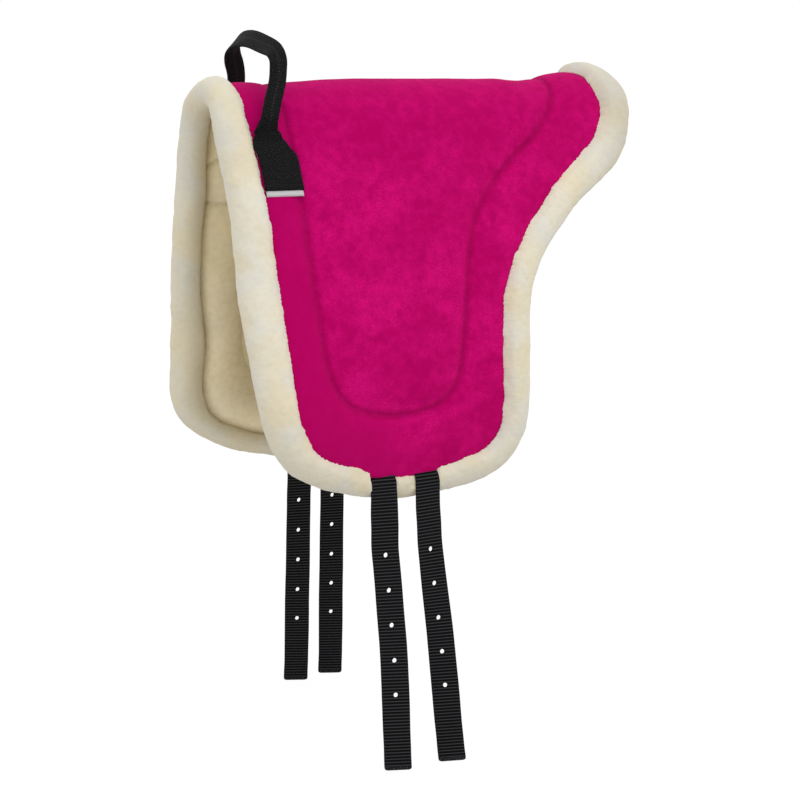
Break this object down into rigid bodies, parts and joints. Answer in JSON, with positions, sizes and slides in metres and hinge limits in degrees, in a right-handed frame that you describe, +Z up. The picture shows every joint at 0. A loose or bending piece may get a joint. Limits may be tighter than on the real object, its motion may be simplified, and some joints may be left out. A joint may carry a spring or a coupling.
{
  "type": "bareback pad",
  "caption": "Saddle-shaped suede and fleece bareback pad with a rolled fleece edge, a webbing grab handle over the withers and two punched girth billets on each side.",
  "frame": {"origin": "underside of the pad's ridge, where it rests on the horse's spine, half way along the suede cover", "axes": "+X toward the cantle (the horse's tail), +Z up, -Y the horse's left side"},
  "size_m": [0.5052, 0.3144, 0.7904],
  "materials": {
    "suede": "napped suede cloth, fuchsia",
    "fleece": "short dense fleece, cream",
    "foam": "soft sheet padding",
    "webbing": "ribbed webbing, black",
    "patch": "plain woven cloth, grey"
  },
  "bodies": {
    "seat": {"seat_cover": "suede", "seat_foam": "foam", "seat_lining": "fleece", "pommel_roll": "fleece", "cantle_roll": "fleece", "front_carrier_web": "webbing", "rear_carrier_web": "webbing", "left_handle_tab": "webbing", "right_handle_tab": "webbing", "left_tab_backing": "patch", "right_tab_backing": "patch"},
    "left_side": {"left_cover": "suede", "left_foam": "foam", "left_lining": "fleece", "left_skirt_roll": "fleece", "left_front_carrier_tail": "webbing", "left_rear_carrier_tail": "webbing"},
    "right_side": {"right_cover": "suede", "right_foam": "foam", "right_lining": "fleece", "right_skirt_roll": "fleece", "right_front_carrier_tail": "webbing", "right_rear_carrier_tail": "webbing"},
    "left_front_strap": {"left_front_billet": "webbing"},
    "left_rear_strap": {"left_rear_billet": "webbing"},
    "right_front_strap": {"right_front_billet": "webbing"},
    "right_rear_strap": {"right_rear_billet": "webbing"},
    "handle": {"grab_handle": "webbing"}
  },
  "joints": [
    {"name": "left_side_spread", "type": "hinge", "parent": "seat", "child": "left_side", "pos_m": [0, -0.10601, -0.11662], "axis": [-1, 0, 0], "range_deg": [0, 30]},
    {"name": "right_side_spread", "type": "hinge", "parent": "seat", "child": "right_side", "pos_m": [0, 0.10601, -0.11662], "axis": [1, 0, 0], "range_deg": [0, 30]},
    {"name": "left_front_billet_swing", "type": "hinge", "parent": "left_side", "child": "left_front_strap", "pos_m": [-0.09345, -0.1205, -0.3972], "axis": [-1, 0, 0], "range_deg": [0, 100]},
    {"name": "left_rear_billet_swing", "type": "hinge", "parent": "left_side", "child": "left_rear_strap", "pos_m": [-0.04265, -0.11895, -0.3979], "axis": [-1, 0, 0], "range_deg": [0, 100]},
    {"name": "right_front_billet_swing", "type": "hinge", "parent": "right_side", "child": "right_front_strap", "pos_m": [-0.08498, 0.11963, -0.39773], "axis": [1, 0, 0], "range_deg": [0, 100]},
    {"name": "right_rear_billet_swing", "type": "hinge", "parent": "right_side", "child": "right_rear_strap", "pos_m": [-0.04166, 0.11895, -0.39787], "axis": [1, 0, 0], "range_deg": [0, 100]},
    {"name": "handle_tilt", "type": "hinge", "parent": "seat", "child": "handle", "pos_m": [-0.20155, 0, -0.03599], "axis": [0, 1, 0], "range_deg": [-45, 35], "stiffness_Nm_per_rad": 0.4}
  ]
}
